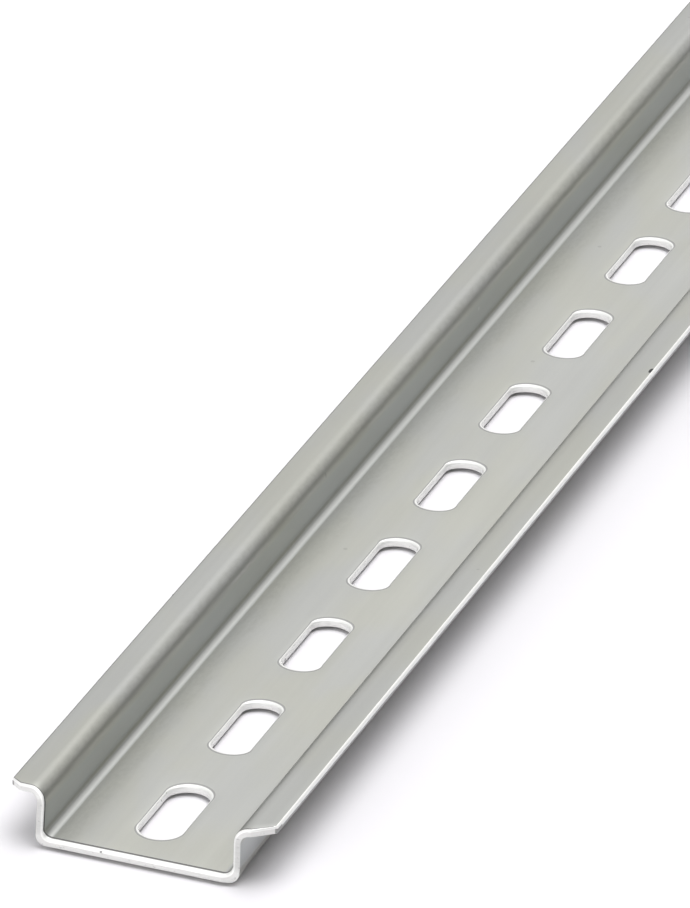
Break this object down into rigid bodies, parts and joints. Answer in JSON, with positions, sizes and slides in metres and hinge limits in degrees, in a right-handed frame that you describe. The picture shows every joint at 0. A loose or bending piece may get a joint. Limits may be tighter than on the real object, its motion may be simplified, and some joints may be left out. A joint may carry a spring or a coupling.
{
  "type": "din rail",
  "caption": "Straight top-hat mounting rail of zinc-plated sheet steel, a shallow channel with two outward flanges and a row of lengthwise screw slots along its base.",
  "frame": {"origin": "middle of the underside of the base, on the floor", "axes": "+X along the rail, +Y across it, +Z from the underside up to the flanges"},
  "size_m": [1, 0.035, 0.0075],
  "materials": {
    "zinc_plated_steel": "zinc-plated, satin, with faint lengthwise rolling marks"
  },
  "bodies": {
    "root": {"rail": "zinc_plated_steel"}
  },
  "joints": []
}
